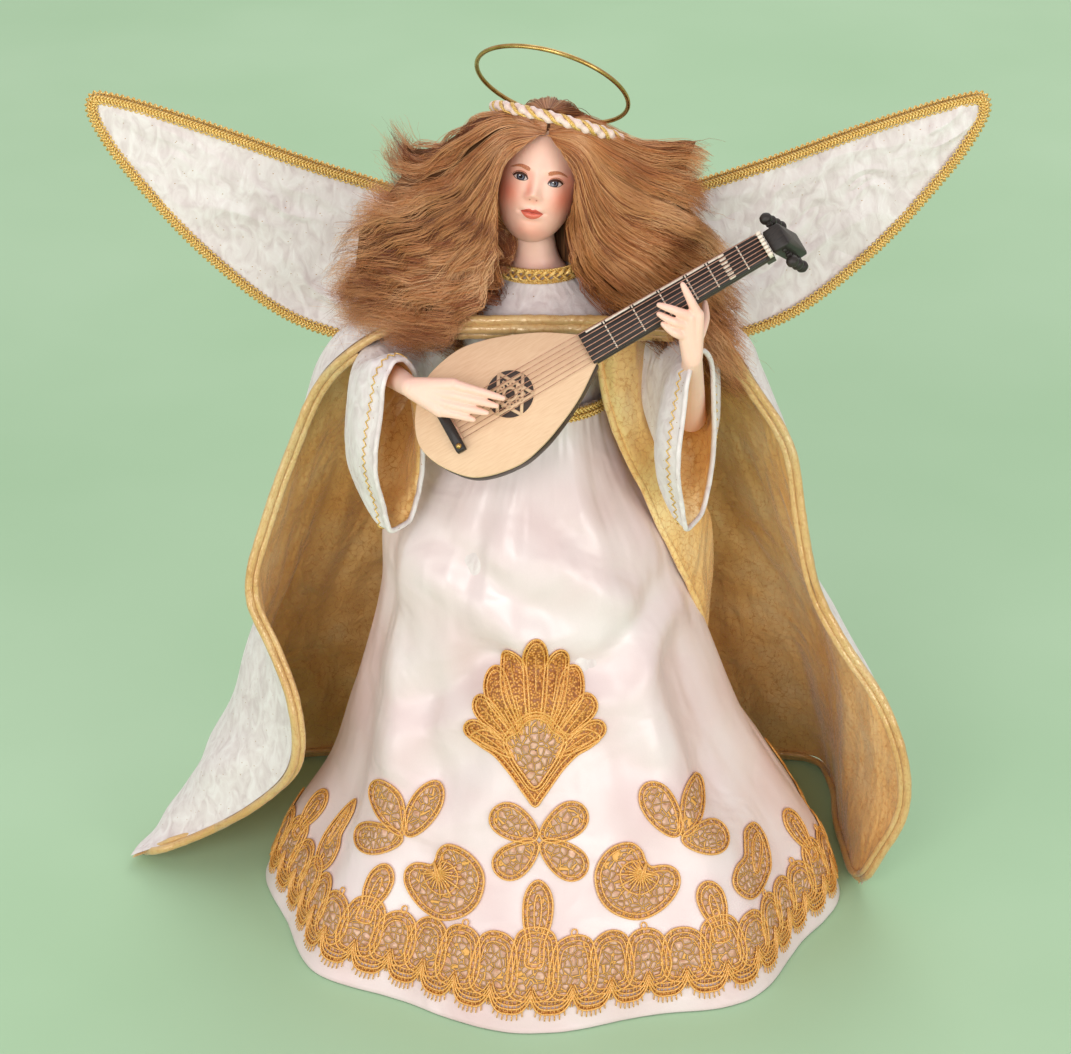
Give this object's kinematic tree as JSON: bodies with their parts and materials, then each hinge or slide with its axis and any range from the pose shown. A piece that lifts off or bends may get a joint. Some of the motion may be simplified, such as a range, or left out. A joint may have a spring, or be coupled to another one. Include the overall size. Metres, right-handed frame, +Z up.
{
  "type": "angel figurine",
  "caption": "Standing angel figurine in a lace-trimmed dress and lined mantle, playing a small lute, with folding wings, a wire halo and a hollow cone base.",
  "frame": {"origin": "on the floor, under the middle of the figurine's bounding box", "axes": "+Z up, -Y out of the figure's front, +X to the figure's left"},
  "size_m": [0.3998, 0.251, 0.4255],
  "materials": {
    "satin": "pinkish white satin",
    "crinkle": "white crinkled cloth with gold specks",
    "gold_cloth": "gold brocade",
    "gold_lace": "gold lace and braid",
    "porcelain": "painted bisque porcelain",
    "mohair": "auburn mohair in waves",
    "brass": "polished brass",
    "spruce": "satin varnish",
    "ebony": "black, glossy",
    "walnut": "dark stained, glossy",
    "bone": "ivory coloured",
    "card": "plain card",
    "pink_cord": "twisted satin cord"
  },
  "bodies": {
    "figure": {"dress_skirt": "satin", "underskirt": "crinkle", "torso_form": "crinkle", "bodice": "crinkle", "upper_arm_right": "crinkle", "upper_arm_left": "crinkle", "sleeve_right": "crinkle", "sleeve_left": "crinkle", "mantle_outer": "crinkle", "sleeve_lining_right": "gold_cloth", "sleeve_lining_left": "gold_cloth", "chest_band": "gold_cloth", "mantle_piping": "gold_cloth", "mantle_lining": "gold_cloth", "lace_palmette": "gold_lace", "lace_flower": "gold_lace", "lace_trefoil_right": "gold_lace", "lace_trefoil_left": "gold_lace", "lace_pansy_right": "gold_lace", "lace_pansy_left": "gold_lace", "lace_leaf_right": "gold_lace", "lace_leaf_left": "gold_lace", "hem_lace": "gold_lace", "collar_braid": "gold_lace", "waist_cord": "gold_lace", "shoulder_head": "porcelain", "hand_right": "porcelain", "hand_left": "porcelain", "wig": "mohair", "wing_bolt": "brass", "halo": "brass", "bridge_rivet_upper": "brass", "bridge_rivet_lower": "brass", "hinge_pin_right": "brass", "hinge_pin_left": "brass", "wing_bracket": "brass", "lute_soundboard": "spruce", "lute_strings": "spruce", "fingerboard": "ebony", "bridge": "ebony", "pegbox": "ebony", "lute_peg_1": "ebony", "lute_peg_2": "ebony", "lute_peg_3": "ebony", "lute_peg_4": "ebony", "lute_peg_5": "ebony", "lute_peg_6": "ebony", "lute_peg_7": "ebony", "lute_bowl": "walnut", "lute_neck": "walnut", "nut": "bone", "base_cone": "card", "headband": "pink_cord"},
    "wing_right": {"wing_frame_right": "brass", "wing_braid_right": "gold_lace", "wing_cloth_right": "crinkle"},
    "wing_left": {"wing_frame_left": "brass", "wing_braid_left": "gold_lace", "wing_cloth_left": "crinkle"}
  },
  "joints": [
    {"name": "wing_right_fold", "type": "hinge", "parent": "figure", "child": "wing_right", "pos_m": [-0.012, 0.0485, 0.286], "axis": [0, 0, -1], "range_deg": [0, 40]},
    {"name": "wing_left_fold", "type": "hinge", "parent": "figure", "child": "wing_left", "pos_m": [0.012, 0.0485, 0.286], "axis": [0, 0, 1], "range_deg": [0, 40]}
  ]
}
